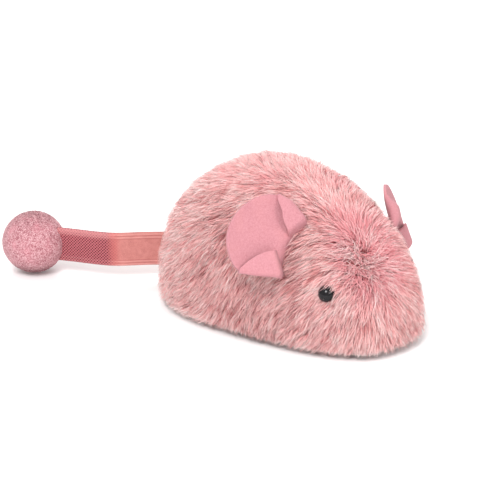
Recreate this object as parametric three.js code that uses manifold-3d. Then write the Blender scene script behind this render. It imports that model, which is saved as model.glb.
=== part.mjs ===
import * as THREE from 'three';
import { mergeVertices } from 'three/addons/utils/BufferGeometryUtils.js';
import Module from 'manifold-3d';

// A plush-covered clockwork mouse. Millimetres, +X to the nose, +Y to the mouse's left, +Z up.
// Everything is placed in the mouse's own frame, with the floor at z = 0 under the middle of the body.

// Body: a long low dome, widest and highest behind the middle
const bodyLength = 115;
const bodyWidth = 76.5;
const bodyHeight = 62.5;
const hemHeight = 1.5;
const dome = { widthPower: 0.575, widthLean: -0.27, heightPower: 0.69, heightLean: -0.155 };
const section = { acrossPower: 0.83, upPower: 0.59 };

// Layers of the body, from the fur inwards
const plushThickness = 6;
const plushToShell = 0.5;
const shellThickness = 1.6;
const shellBottom = 4.5;
const plateThickness = 1.6;
const plateToShell = 0.6;

// Clockwork: gear sizes, arbors and where they sit between the two frame plates
const gearModule = 0.5;
const teeth = { great: 40, secondPinion: 10, second: 30, axlePinion: 10 };
const gearBacklash = 0.16;
const wheelAddendum = 0.42;
const pinionAddendum = 0.4;
const toothDedendum = 0.66;
const pressureAngle = THREE.MathUtils.degToRad(20);
const centreClearance = 0.06;
const trainBendLow = THREE.MathUtils.degToRad(49.5);
const trainBendHigh = THREE.MathUtils.degToRad(36.9);
const gearThickness = 1.8;
const pinionLength = 3.4;
const arborRadius = 1.5;
const journalRadius = 1;
const journalClearance = 0.18;
const boreClearance = 0.15;
const frameLeft = 10.5;
const frameRight = -8.5;
const frameThickness = 1;
const flangeLength = 6.2;
const pillarClearance = 0.6;
const pillarRadius = 1.6;
const endPlay = 0.3;

// Mainspring: a strip wound in a loose spiral
const springTurns = 4.5;
const springStrip = 0.45;
const springWidth = 6;
const springInnerRadius = 2.2;
const springOuterRadius = 9.2;
const springHookLead = 0.35;
const click = { arms: 3, inner: 3, outer: 6.8, halfTip: 0.16, thickness: 0.6 };

// Drive wheels and the little swivel wheel in front
const wheelRadius = 10;
const tyreThickness = 2.2;
const wheelWidth = 6.5;
const wheelToRim = 2.4;
const driveAxleX = -20;
const axleRadius = 1.3;
const casterX = 33;
const casterRadius = 4.5;
const casterTrail = 4;
const casterWidth = 4;
const casterPinRadius = 0.8;
const casterStemRadius = 1.5;
const casterCrownRadius = 3.6;
const forkArm = { thickness: 1, halfWidth: 1.6, bar: 1.1 };
const wheelGap = 1;

// Winding key on the left side
const keyStemRadius = 2.6;
const keyStemLength = 5;
const keyWingRadius = 5.2;
const keyWingSpread = 5.4;
const keyThickness = 2.4;
const keyProud = 2;

// Tail: flat webbing on edge, with a soft ball at its end
const strapWidth = 15;
const strapThickness = 1.8;
const strapLift = 6;
const ballRadius = 13.25;
const ballSkin = 2.2;
const tailSwing = { toRight: 14, toLeft: 76 };
const tailTabLength = 12;
const swingRoom = { reach: 20, margin: 12 };

// Ears and eyes
const earRadius = 14.8;
const earThickness = 1.6;
const earDish = 3;
const eyeRadius = 3.3;
const eyeStemRadius = 1;
const eyeStemLength = 4.6;

// Fastenings
const screw = { shank: 1.1, head: 2.3, headHeight: 1.1, clearance: 0.2, chamfer: 0.4, point: 0.8 };
const screwGrip = { base: 7.5, motor: frameThickness + 1.6 };
const bossRadius = 3.2;
const pocketGap = 0.35;

const facets = 20;
const wasm = await Module();
wasm.setup();

function toSolid(geometry) {
  const plain = geometry.clone();
  plain.deleteAttribute('normal');
  plain.deleteAttribute('uv');
  const merged = mergeVertices(plain, 1e-5);
  const mesh = new wasm.Mesh({
    numProp: 3,
    vertProperties: new Float32Array(merged.attributes.position.array),
    triVerts: new Uint32Array(merged.index.array),
  });
  return new wasm.Manifold(mesh);
}

function toGeometry(solid) {
  const mesh = solid.getMesh();
  const geometry = new THREE.BufferGeometry();
  geometry.setAttribute('position', new THREE.BufferAttribute(mesh.vertProperties, 3));
  geometry.setIndex(new THREE.BufferAttribute(mesh.triVerts, 1));
  geometry.computeVertexNormals();
  return geometry;
}

function cutFrom(base, cutters) {
  let solid = toSolid(base);
  for (const cutter of cutters) solid = solid.subtract(toSolid(cutter));
  return toGeometry(solid);
}

function joinTo(base, extras) {
  let solid = toSolid(base);
  for (const extra of extras) solid = solid.add(toSolid(extra));
  return toGeometry(solid);
}

function box(x0, x1, y0, y1, z0, z1) {
  const geometry = new THREE.BoxGeometry(x1 - x0, y1 - y0, z1 - z0);
  return geometry.translate((x0 + x1) / 2, (y0 + y1) / 2, (z0 + z1) / 2);
}

function rodZ(radius, x, y, z0, z1, sides = facets) {
  const geometry = new THREE.CylinderGeometry(radius, radius, z1 - z0, sides);
  return geometry.rotateX(Math.PI / 2).translate(x, y, (z0 + z1) / 2);
}

function rodY(radius, x, z, y0, y1, sides = facets) {
  const geometry = new THREE.CylinderGeometry(radius, radius, y1 - y0, sides);
  return geometry.translate(x, (y0 + y1) / 2, z);
}

// A turned piece: profile points are [radius, distance along +Y], closed on the axis or on itself
function turned(profile, sides = facets) {
  return new THREE.LatheGeometry(profile.map(([r, y]) => new THREE.Vector2(r, y)), sides);
}

function ring(inner, outer, y0, y1, sides = facets) {
  return turned([[inner, y0], [outer, y0], [outer, y1], [inner, y1], [inner, y0]], sides);
}

// Body surface at a place along its length (angle from the nose) and round its section
const widthShape = (angle) => Math.sin(angle) ** dome.widthPower * Math.exp(dome.widthLean * Math.cos(angle));
const heightShape = (angle) => Math.sin(angle) ** dome.heightPower * Math.exp(dome.heightLean * Math.cos(angle));

function peak(shape) {
  let best = 0;
  for (let i = 1; i < 180; i++) best = Math.max(best, shape(i * Math.PI / 180));
  return best;
}

const widthPeak = peak(widthShape);
const heightPeak = peak(heightShape);

function halfWidthAt(x, inset) {
  const half = bodyLength / 2 - inset;
  const along = Math.acos(THREE.MathUtils.clamp(x / half, -1, 1));
  return (bodyWidth / 2 - inset) * widthShape(along) / widthPeak;
}

// A point on the dome that lies inset from the fur's outer surface: along is the angle from the
// nose, and cosine and sine are those of the angle round the section from the left hem
function domePoint(inset, along, cosine, sine) {
  const half = (bodyWidth / 2 - inset) * widthShape(along) / widthPeak;
  const height = (bodyHeight - inset - hemHeight) * heightShape(along) / heightPeak;
  return new THREE.Vector3(
    (bodyLength / 2 - inset) * Math.cos(along),
    half * Math.sign(cosine) * Math.abs(cosine) ** section.acrossPower,
    hemHeight + height * Math.max(0, sine) ** section.upPower,
  );
}

function furPoint(side, degreesAlong, degreesUp, inset) {
  const up = THREE.MathUtils.degToRad(degreesUp);
  return domePoint(inset, THREE.MathUtils.degToRad(degreesAlong), side * Math.cos(up), Math.sin(up));
}

// A solid dome with a flat bottom
function domeSolid(inset, along = 22, around = 28) {
  const sphere = new THREE.SphereGeometry(1, around, along).rotateZ(-Math.PI / 2);
  const position = sphere.attributes.position;
  for (let i = 0; i < position.count; i++) {
    const angle = Math.acos(THREE.MathUtils.clamp(position.getX(i), -1, 1));
    const across = Math.hypot(position.getY(i), position.getZ(i));
    const atPole = across < 1e-4;
    const cosine = atPole ? 0 : position.getY(i) / across;
    const sine = atPole ? 0 : position.getZ(i) / across;
    const point = domePoint(inset, atPole ? Math.round(angle / Math.PI) * Math.PI : angle, cosine, sine);
    position.setXYZ(i, point.x, point.y, point.z);
  }
  return sphere;
}

// A hollow dome, open underneath and cut level at the given height
function domeShell(inset, thickness, bottom, along, around) {
  const inner = domeSolid(inset + thickness, along, around);
  const position = inner.attributes.position;
  for (let i = 0; i < position.count; i++) {
    if (position.getZ(i) < hemHeight + 1e-6) position.setZ(i, hemHeight - 5);
  }
  const shell = toSolid(domeSolid(inset, along, around)).subtract(toSolid(inner));
  const reach = bodyLength;
  return shell.subtract(toSolid(box(-reach, reach, -reach, reach, hemHeight - 6, bottom)));
}

const shellInset = plushThickness + plushToShell;
const plateTop = shellBottom + plateThickness;
const plateInset = shellInset + shellThickness + plateToShell;

// Gear train, from the drive axle up to the great wheel
const pitchRadius = (count) => gearModule * count / 2;
const lowCentres = pitchRadius(teeth.axlePinion) + pitchRadius(teeth.second) + centreClearance;
const highCentres = pitchRadius(teeth.secondPinion) + pitchRadius(teeth.great) + centreClearance;
const driveAxle = { x: driveAxleX, z: wheelRadius };
const secondArbor = {
  x: driveAxle.x + lowCentres * Math.cos(trainBendLow),
  z: driveAxle.z + lowCentres * Math.sin(trainBendLow),
};
const greatArbor = {
  x: secondArbor.x + highCentres * Math.cos(trainBendHigh),
  z: secondArbor.z + highCentres * Math.sin(trainBendHigh),
};
const greatY = 0;
const secondY = frameRight + 3.2;

// Outline of a gear with thinned involute teeth, first tooth pointing along +X turned by phase
function gearOutline(count, addendum, phase) {
  const pitch = pitchRadius(count);
  const base = pitch * Math.cos(pressureAngle);
  const tip = pitch + addendum;
  const root = pitch - toothDedendum;
  const involute = (radius) => {
    const roll = Math.sqrt(Math.max(0, (radius / base) ** 2 - 1));
    return roll - Math.atan(roll);
  };
  const halfAtPitch = Math.PI / (2 * count) - gearBacklash / (2 * pitch);
  const halfAt = (radius) => halfAtPitch + involute(pitch) - involute(Math.max(radius, base));
  const radii = [root, (root + 2 * pitch) / 3, tip];
  const points = [];
  for (let tooth = 0; tooth < count; tooth++) {
    const centre = phase + tooth * 2 * Math.PI / count;
    for (const radius of radii) points.push([radius, centre - halfAt(radius)]);
    for (const radius of [...radii].reverse()) points.push([radius, centre + halfAt(radius)]);
  }
  return new THREE.Shape(points.map(([r, a]) => new THREE.Vector2(r * Math.cos(a), r * Math.sin(a))));
}

function roundHole(shape, x, z, radius, sides = 20) {
  const hole = new THREE.Path();
  hole.absarc(x, z, radius, 0, 2 * Math.PI, true);
  shape.holes.push(new THREE.Path(hole.getPoints(sides / 2)));
}

// Extrude a shape drawn in X and Z along +Y, from y0 to y1
function slabY(shape, y0, y1) {
  const geometry = new THREE.ExtrudeGeometry(shape, { depth: y1 - y0, bevelEnabled: false, curveSegments: 12 });
  return geometry.rotateX(Math.PI / 2).translate(0, y1, 0);
}

function gear(count, addendum, phase, boreRadius, at, y0, length) {
  const shape = gearOutline(count, addendum, phase);
  roundHole(shape, 0, 0, boreRadius);
  return slabY(shape, y0, y0 + length).translate(at.x, 0, at.z);
}

// A tooth of one gear points along the line of centres, and a gap of the other faces it
const towardsSecond = Math.atan2(secondArbor.z - driveAxle.z, secondArbor.x - driveAxle.x);
const towardsGreat = Math.atan2(greatArbor.z - secondArbor.z, greatArbor.x - secondArbor.x);
const phases = {
  axlePinion: towardsSecond,
  second: towardsSecond + Math.PI + Math.PI / teeth.second,
  secondPinion: towardsGreat,
  great: towardsGreat + Math.PI + Math.PI / teeth.great,
};

// Where each material's colour and finish is set
const materials = {
  plush: { color: 0xdc9ca0, roughness: 1 },
  felt: { color: 0xf0a8b0, roughness: 1 },
  webbing: { color: 0xcf7d80, roughness: 0.9 },
  pile: { color: 0xdba1a6, roughness: 1 },
  foam: { color: 0xf2ead8, roughness: 1 },
  bead: { color: 0x08080a, roughness: 0.1 },
  shell: { color: 0xe8e2da, roughness: 0.5 },
  chassis: { color: 0x3a3b40, roughness: 0.5 },
  keyPlastic: { color: 0xf3efe8, roughness: 0.35 },
  steel: { color: 0xb9bcc2, roughness: 0.3, metalness: 1 },
  springSteel: { color: 0x5b6470, roughness: 0.35, metalness: 1 },
  brass: { color: 0xc8a24c, roughness: 0.35, metalness: 1 },
  rubber: { color: 0x222224, roughness: 0.85 },
};

const toy = new THREE.Group();

function addPiece(name, material, geometry) {
  const mesh = new THREE.Mesh(geometry, new THREE.MeshStandardMaterial(materials[material]));
  mesh.name = name;
  toy.add(mesh);
  return mesh;
}

// Tail route in plan: out of the rump to the mouse's right, an S-bend, then straight to the ball
const strapMiddle = strapWidth / 2 + strapLift;
const tailPivot = { x: -bodyLength / 2 + plushThickness - 1, y: -0.8 };
const strapBends = [[-8.5, -6.7], [-18, -16], [-26.8, -26.4], [-33.5, -31.2], [-43, -36], [-50.2, -39.9]];
const strapRoute = [[0, 0], ...strapBends].map(
  ([x, y]) => new THREE.Vector3(tailPivot.x + x, tailPivot.y + y, strapMiddle),
);
const strapEnd = strapRoute[strapRoute.length - 1];
const strapDirection = strapEnd.clone().sub(strapRoute[strapRoute.length - 2]).normalize();
const ballCentre = strapEnd.clone().addScaledVector(strapDirection, ballRadius - 2);
ballCentre.z = ballRadius;
const tailHeading = Math.atan2(strapBends[0][1], strapBends[0][0]);
const tailTab = { start: tailPivot.x + 1, end: tailPivot.x + 1 + tailTabLength };
const clipWall = 1.2;
const clipHalf = strapThickness / 2 + clipWall;

function strapSection() {
  const half = strapWidth / 2;
  const thin = strapThickness / 2;
  const corners = [[-half, -thin], [half, -thin], [half, thin], [-half, thin]];
  return new THREE.Shape(corners.map(([x, y]) => new THREE.Vector2(x, y)));
}

// Room in the fur for the strap to swing: a wedge opening outwards from the pivot
function swingWedge(reach, margin) {
  const first = tailHeading - THREE.MathUtils.degToRad(tailSwing.toLeft + margin);
  const last = tailHeading + THREE.MathUtils.degToRad(tailSwing.toRight + margin);
  const back = strapThickness;
  const wedge = new THREE.Shape();
  wedge.moveTo(tailPivot.x + back, tailPivot.y + back * (Math.sin(tailHeading) - 1));
  wedge.lineTo(tailPivot.x + back, tailPivot.y + back);
  for (let i = 0; i <= 6; i++) {
    const angle = first + (last - first) * i / 6;
    wedge.lineTo(tailPivot.x + reach * Math.cos(angle), tailPivot.y + reach * Math.sin(angle));
  }
  const tall = strapWidth + 2 * pocketGap;
  const geometry = new THREE.ExtrudeGeometry(wedge, { depth: tall, bevelEnabled: false });
  return geometry.translate(0, 0, strapMiddle - tall / 2);
}

// Where the eyes sit on the face, in degrees from the nose and up from the hem
const eyePlace = { along: 47, up: 22.9, sunk: 0.5 };
const eyeLook = new THREE.Vector3(0.42, 0.85, 0.32).normalize();

function towards(geometry, direction, place) {
  const turn = new THREE.Quaternion().setFromUnitVectors(new THREE.Vector3(0, 1, 0), direction);
  return geometry.applyQuaternion(turn).translate(place.x, place.y, place.z);
}

function eyeBead(side, grow) {
  const look = new THREE.Vector3(eyeLook.x, side * eyeLook.y, eyeLook.z);
  const stem = eyeStemRadius + grow;
  const bead = eyeRadius + grow;
  const profile = [[0, -eyeStemLength - grow], [stem, -eyeStemLength - grow]];
  const join = Math.asin(stem / bead);
  for (let i = 0; i <= 8; i++) {
    const angle = join + (Math.PI - join) * i / 8;
    profile.push([bead * Math.sin(angle), -bead * Math.cos(angle)]);
  }
  profile[profile.length - 1][0] = 0;
  return towards(turned(profile, 16), look, furPoint(side, eyePlace.along, eyePlace.up, eyePlace.sunk));
}

// The key's arbor leaves through a bush in the left flank
const keyHoleRadius = keyStemRadius + 0.9;
const bushRadius = keyHoleRadius + 1.3;
const flank = (inset) => halfWidthAt(greatArbor.x, inset);
const shellFlank = flank(shellInset);
const bushEnd = flank(0) + 0.5;
const keyStart = bushEnd + keyProud;

function plushCover() {
  let solid = domeShell(0, plushThickness, hemHeight, 22, 28);
  solid = solid.subtract(toSolid(swingWedge(swingRoom.reach, swingRoom.margin)));
  solid = solid.subtract(toSolid(rodY(bushRadius + pocketGap, greatArbor.x, greatArbor.z, 20, 60)));
  for (const side of [-1, 1]) solid = solid.subtract(toSolid(eyeBead(side, pocketGap)));
  return toGeometry(solid.subtract(toSolid(webbingBlock(tailTab.start - 2, tailTab.end, pocketGap))));
}
addPiece('plush_cover', 'plush', plushCover());

// Moulded upper shell with four screw bosses reaching down to the base plate
const bossPlaces = [[20, 1], [20, -1], [-36, 1], [-36, -1]].map(
  ([x, side]) => [x, side * (halfWidthAt(x, plateInset) - bossRadius - 2)],
);

function upperShell() {
  let solid = domeShell(shellInset, shellThickness, shellBottom, 18, 24);
  const outside = toSolid(domeSolid(shellInset + 0.3, 18, 24));
  for (const [x, y] of bossPlaces) {
    const boss = toSolid(rodZ(bossRadius, x, y, plateTop + 0.2, bodyHeight, 16)).intersect(outside);
    solid = solid.add(boss);
    const hole = rodZ(screw.shank + screw.clearance, x, y, plateTop - 1, plateTop + 9, 12);
    solid = solid.subtract(toSolid(hole));
  }
  const keyHole = rodY(bushRadius - 0.5, greatArbor.x, greatArbor.z, 15, 60);
  const tailSlot = webbingBlock(tailTab.start - 1, tailTab.end, pocketGap);
  return toGeometry(solid.subtract(toSolid(keyHole)).subtract(toSolid(tailSlot)));
}
addPiece('upper_shell', 'shell', upperShell());

// Bush that keeps the fur off the key's stem, pressed into the shell with a flange outside it
function keyBush() {
  const neck = bushRadius - 0.5 - pocketGap;
  const seat = shellFlank + 0.9;
  return turned([
    [keyHoleRadius, shellFlank - shellThickness - 2],
    [neck, shellFlank - shellThickness - 2],
    [neck, seat],
    [bushRadius, seat],
    [bushRadius, bushEnd],
    [keyHoleRadius, bushEnd],
    [keyHoleRadius, shellFlank - shellThickness - 2],
  ]).translate(greatArbor.x, 0, greatArbor.z);
}
addPiece('key_bush', 'chassis', keyBush());

// Base plate: openings for the drive wheels and the swivel wheel, which hangs from a bridge
const wheelReach = wheelRadius + wheelGap;
const wheelOuter = Math.min(
  halfWidthAt(driveAxleX - wheelReach, plateInset),
  halfWidthAt(driveAxleX + wheelReach, plateInset),
) - wheelToRim;
const wheelInner = wheelOuter - wheelWidth;
const casterSweep = casterTrail + casterRadius + wheelGap;
const bridgeTop = 2 * casterRadius + 4.2;
const bridgeThickness = 1.8;
const bridgeHalfLength = 4;
const bridgeLeg = { gap: 0.6, thickness: 2 };
const flangeStart = driveAxleX + 3.8;
const motorScrewPlaces = [];
for (const x of [flangeStart + 2.6, greatArbor.x + 1.4]) {
  motorScrewPlaces.push([x, frameLeft - flangeLength / 2]);
  motorScrewPlaces.push([x, frameRight + flangeLength / 2]);
}

function basePlate() {
  const outline = [];
  const steps = 40;
  for (let i = 0; i < steps; i++) {
    const around = 2 * Math.PI * (i + 0.5) / steps;
    const angle = Math.acos(Math.cos(around));
    const half = (bodyWidth / 2 - plateInset) * widthShape(angle) / widthPeak;
    const x = (bodyLength / 2 - plateInset) * Math.cos(around);
    outline.push(new THREE.Vector2(x, Math.sign(Math.sin(around)) * half));
  }
  const shape = new THREE.Shape(outline);
  const plate = new THREE.ExtrudeGeometry(shape, { depth: plateThickness, bevelEnabled: false });
  plate.translate(0, 0, shellBottom);
  const legs = [];
  for (const side of [-1, 1]) {
    const inner = casterSweep + bridgeLeg.gap;
    const outer = inner + bridgeLeg.thickness;
    const [y0, y1] = side > 0 ? [inner, outer] : [-outer, -inner];
    legs.push(box(casterX - bridgeHalfLength, casterX + bridgeHalfLength, y0, y1, plateTop - 0.5, bridgeTop));
  }
  const span = casterSweep + bridgeLeg.gap + bridgeLeg.thickness;
  legs.push(box(casterX - bridgeHalfLength, casterX + bridgeHalfLength, -span, span,
    bridgeTop - bridgeThickness, bridgeTop));
  const cuts = [rodZ(casterSweep, casterX, 0, 0, plateTop + 0.1)];
  cuts.push(rodZ(casterStemRadius + journalClearance, casterX, 0, plateTop + 1, bridgeTop + 1));
  for (const side of [-1, 1]) {
    const [y0, y1] = side > 0 ? [wheelInner - wheelGap, wheelOuter + wheelGap]
      : [-wheelOuter - wheelGap, -wheelInner + wheelGap];
    cuts.push(box(driveAxleX - wheelReach, driveAxleX + wheelReach, y0, y1, 0, plateTop + 1));
  }
  for (const [x, y] of [...bossPlaces, ...motorScrewPlaces]) {
    cuts.push(rodZ(screw.shank + screw.clearance, x, y, 0, plateTop + 1, 12));
  }
  cuts.push(box(tailPivot.x - 5, tailTab.end + 2, tailPivot.y - clipHalf - 0.6,
    tailPivot.y + clipHalf + 0.6, 0, plateTop + 1));
  return cutFrom(joinTo(plate, legs), cuts);
}
addPiece('base_plate', 'chassis', basePlate());

function screwUp(x, y, top) {
  const bottom = shellBottom - screw.headHeight;
  const geometry = turned([
    [0, bottom], [screw.head * 0.7, bottom], [screw.head, bottom + screw.chamfer], [screw.head, shellBottom],
    [screw.shank, shellBottom], [screw.shank, top - screw.point], [0, top],
  ], 10);
  return geometry.rotateX(Math.PI / 2).translate(x, y, 0);
}
bossPlaces.forEach(([x, y], i) => {
  addPiece(`base_screw_${i + 1}`, 'steel', screwUp(x, y, plateTop + screwGrip.base));
});
motorScrewPlaces.forEach(([x, y], i) => {
  addPiece(`motor_screw_${i + 1}`, 'steel', screwUp(x, y, plateTop + screwGrip.motor));
});

// Motor frame: two bent plates held apart by four shouldered pillars
const tipRadius = (count) => pitchRadius(count) + wheelAddendum;

function pillarBeside(arbor, count, degrees, extra) {
  const angle = THREE.MathUtils.degToRad(degrees);
  const away = tipRadius(count) + pillarRadius + pillarClearance + extra;
  return [arbor.x + away * Math.cos(angle), arbor.z + away * Math.sin(angle)];
}

const pillarPlaces = [
  pillarBeside(greatArbor, teeth.great, 45, 0),
  pillarBeside(secondArbor, teeth.second, 109, 0),
  pillarBeside(secondArbor, teeth.second, 188, 2),
  [greatArbor.x + 5.6, plateTop + 4.2],
];

function framePlate(side) {
  const [low, back, front] = [plateTop, pillarPlaces[2][0] - 3, pillarPlaces[0][0] + 3.2];
  const outline = [
    [back, low], [front, low], [front, pillarPlaces[0][1] + 1], [front - 2, pillarPlaces[0][1] + 3.2],
    [greatArbor.x + 1, pillarPlaces[0][1] + 3.2], [pillarPlaces[1][0] - 2, pillarPlaces[1][1] + 3],
    [back, pillarPlaces[2][1] + 3],
  ];
  const shape = new THREE.Shape(outline.map(([x, z]) => new THREE.Vector2(x, z)));
  const [y0, y1] = side > 0 ? [frameLeft, frameLeft + frameThickness]
    : [frameRight - frameThickness, frameRight];
  const flange = side > 0 ? [y0 - flangeLength, y0 + 0.5] : [y1 - 0.5, y1 + flangeLength];
  const foot = box(flangeStart, front, flange[0], flange[1], low, low + frameThickness);
  const cuts = pillarPlaces.map(([x, z]) => rodY(journalRadius + journalClearance, x, z, y0 - 1, y1 + 1, 16));
  const arborHole = side > 0 ? arborRadius : journalRadius;
  cuts.push(rodY(arborHole + journalClearance, greatArbor.x, greatArbor.z, y0 - 1, y1 + 1));
  cuts.push(rodY(journalRadius + journalClearance, secondArbor.x, secondArbor.z, y0 - 1, y1 + 1));
  cuts.push(rodY(axleRadius + journalClearance, driveAxle.x, driveAxle.z, y0 - 1, y1 + 1));
  for (const [x, y] of motorScrewPlaces) {
    if (Math.sign(y) !== side) continue;
    cuts.push(rodZ(screw.shank + screw.clearance, x, y, low - 1, low + frameThickness + 1, 12));
  }
  return cutFrom(joinTo(slabY(shape, y0, y1), [foot]), cuts);
}
addPiece('motor_plate_left', 'steel', framePlate(1));
addPiece('motor_plate_right', 'steel', framePlate(-1));

function steppedRod(at, steps, sides = 16) {
  const profile = [[0, steps[0][1]]];
  for (const [radius, from, to] of steps) {
    profile.push([radius, from]);
    profile.push([radius, to]);
  }
  profile.push([0, steps[steps.length - 1][2]]);
  return turned(profile, sides).translate(at.x, 0, at.z);
}

const outerLeft = frameLeft + frameThickness;
const outerRight = frameRight - frameThickness;
pillarPlaces.forEach(([x, z], i) => {
  const geometry = steppedRod({ x, z }, [
    [journalRadius, outerRight - 0.4, frameRight + 0.05],
    [pillarRadius, frameRight + 0.05, frameLeft - 0.05],
    [journalRadius, frameLeft - 0.05, outerLeft + 0.4],
  ]);
  addPiece(`motor_pillar_${i + 1}`, 'steel', geometry);
});

// Winding arbor with the click that drives the great wheel, and the key on its outer end
const keySocketDepth = 5;
addPiece('winding_arbor', 'steel', steppedRod(greatArbor, [
  [journalRadius, outerRight - 0.6, frameRight + endPlay],
  [arborRadius, frameRight + endPlay, keyStart + keySocketDepth],
]));

function clickStar() {
  const star = new THREE.Shape();
  for (let i = 0; i < click.arms * 2; i++) {
    const angle = i * Math.PI / click.arms;
    const radius = i % 2 ? click.inner : click.outer;
    for (const turn of [-click.halfTip, click.halfTip]) {
      const point = [radius * Math.cos(angle + turn), radius * Math.sin(angle + turn)];
      if (i === 0 && turn < 0) star.moveTo(...point);
      else star.lineTo(...point);
    }
  }
  roundHole(star, 0, 0, arborRadius + boreClearance);
  const y0 = greatY + gearThickness + endPlay;
  return slabY(star, y0, y0 + click.thickness).translate(greatArbor.x, 0, greatArbor.z);
}
addPiece('click_star', 'springSteel', clickStar());

function windingKey() {
  const centre = keyStart + keyStemLength + keyWingRadius - 2.2;
  const wings = new THREE.Shape();
  const outline = [];
  for (const side of [-1, 1]) {
    for (let i = 0; i <= 12; i++) {
      const angle = side * Math.PI / 2 - Math.PI * 0.72 + 1.44 * Math.PI * i / 12;
      outline.push(new THREE.Vector2(
        keyWingRadius * Math.cos(angle), side * keyWingSpread + keyWingRadius * Math.sin(angle),
      ));
    }
  }
  wings.setFromPoints(outline);
  for (const side of [-1, 1]) roundHole(wings, 0, side * (keyWingSpread + 0.4), keyWingRadius - 2.7, 16);
  const plate = new THREE.ExtrudeGeometry(wings, { depth: keyThickness, bevelEnabled: false });
  plate.translate(0, 0, -keyThickness / 2).rotateX(Math.PI / 2).rotateZ(Math.PI / 2);
  plate.translate(greatArbor.x, centre, greatArbor.z);
  const stem = rodY(keyStemRadius, greatArbor.x, greatArbor.z, keyStart, keyStart + keyStemLength + 3, 20);
  const socket = rodY(arborRadius + boreClearance, greatArbor.x, greatArbor.z, keyStart - 1,
    keyStart + keySocketDepth + endPlay, 16);
  return cutFrom(joinTo(stem, [plate]), [socket]);
}
addPiece('winding_key', 'keyPlastic', windingKey());

// Mainspring between the great wheel and the left plate, its outer end hooked on a pillar
function mainspring() {
  const pillar = pillarPlaces[0];
  const hookAngle = Math.atan2(pillar[1] - greatArbor.z, pillar[0] - greatArbor.x);
  const steps = Math.round(springTurns * 15);
  const total = springTurns * 2 * Math.PI;
  const sides = [[], []];
  for (let i = 0; i <= steps; i++) {
    const share = i / steps;
    const angle = hookAngle - springHookLead - total * (1 - share);
    const radius = springInnerRadius + (springOuterRadius - springInnerRadius) * share;
    [-0.5, 0.5].forEach((half, k) => {
      const r = radius + half * springStrip;
      sides[k].push(new THREE.Vector2(r * Math.cos(angle), r * Math.sin(angle)));
    });
  }
  const reach = Math.hypot(pillar[0] - greatArbor.x, pillar[1] - greatArbor.z) - pillarRadius - 0.3;
  [-0.5, 0.5].forEach((half, k) => {
    const r = reach + half * springStrip - springStrip / 2;
    sides[k].push(new THREE.Vector2(r * Math.cos(hookAngle), r * Math.sin(hookAngle)));
  });
  const shape = new THREE.Shape([...sides[0], ...sides[1].reverse()]);
  const y0 = frameLeft - endPlay - springWidth;
  return slabY(shape, y0, y0 + springWidth).translate(greatArbor.x, 0, greatArbor.z);
}
addPiece('mainspring', 'springSteel', mainspring());

const greatBore = arborRadius + boreClearance;
addPiece('great_wheel', 'brass',
  gear(teeth.great, wheelAddendum, phases.great, greatBore, greatArbor, greatY, gearThickness));

addPiece('second_arbor', 'steel', steppedRod(secondArbor, [
  [journalRadius, outerRight - 0.5, frameRight + endPlay],
  [arborRadius * 0.8, frameRight + endPlay, frameLeft - endPlay],
  [journalRadius, frameLeft - endPlay, outerLeft + 0.5],
]));
const slimBore = arborRadius * 0.8 + boreClearance;
addPiece('second_pinion', 'steel',
  gear(teeth.secondPinion, pinionAddendum, phases.secondPinion, slimBore, secondArbor,
    greatY - 0.8, pinionLength));
addPiece('second_wheel', 'brass',
  gear(teeth.second, wheelAddendum, phases.second, slimBore, secondArbor, secondY, gearThickness));

// Drive axle with its pinion and the two wheels
const hubRadius = wheelRadius - tyreThickness;
const hub = { boss: 3.4, rim: 1.6, web: 1, step: 0.4 };
addPiece('drive_axle', 'steel', steppedRod(driveAxle, [
  [axleRadius, -wheelOuter - 0.6, wheelOuter + 0.6],
]));
addPiece('axle_pinion', 'steel',
  gear(teeth.axlePinion, pinionAddendum, phases.axlePinion, axleRadius + boreClearance, driveAxle,
    secondY - 0.8, pinionLength));

function wheelHub(side) {
  const [y0, y1] = side > 0 ? [wheelInner, wheelOuter] : [-wheelOuter, -wheelInner];
  const middle = (y0 + y1) / 2;
  const bore = axleRadius + boreClearance;
  const rim = hubRadius - hub.rim;
  return turned([
    [bore, y0], [hub.boss, y0], [hub.boss, middle - hub.web], [rim, middle - hub.web],
    [rim, y0 + hub.step], [hubRadius, y0 + hub.step], [hubRadius, y1 - hub.step], [rim, y1 - hub.step],
    [rim, middle + hub.web], [hub.boss, middle + hub.web], [hub.boss, y1], [bore, y1], [bore, y0],
  ]).translate(driveAxle.x, 0, driveAxle.z);
}

function tyre(side) {
  const [y0, y1] = side > 0 ? [wheelInner, wheelOuter] : [-wheelOuter, -wheelInner];
  const inner = hubRadius + 0.1;
  return turned([
    [inner, y0 + 0.2], [wheelRadius - 0.6, y0 + 0.2], [wheelRadius, y0 + 0.9], [wheelRadius, y1 - 0.9],
    [wheelRadius - 0.6, y1 - 0.2], [inner, y1 - 0.2], [inner, y0 + 0.2],
  ], 32).translate(driveAxle.x, 0, driveAxle.z);
}
for (const [side, label] of [[1, 'left'], [-1, 'right']]) {
  addPiece(`wheel_hub_${label}`, 'keyPlastic', wheelHub(side));
  addPiece(`wheel_tyre_${label}`, 'rubber', tyre(side));
}

// Swivel wheel in front: fork with its stem in the bridge, a clip above, a pin and a small wheel
const forkTop = bridgeTop - bridgeThickness - endPlay;
const casterAxle = { x: casterX - casterTrail, z: casterRadius };
const armInner = casterWidth / 2 + 0.4;

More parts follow.
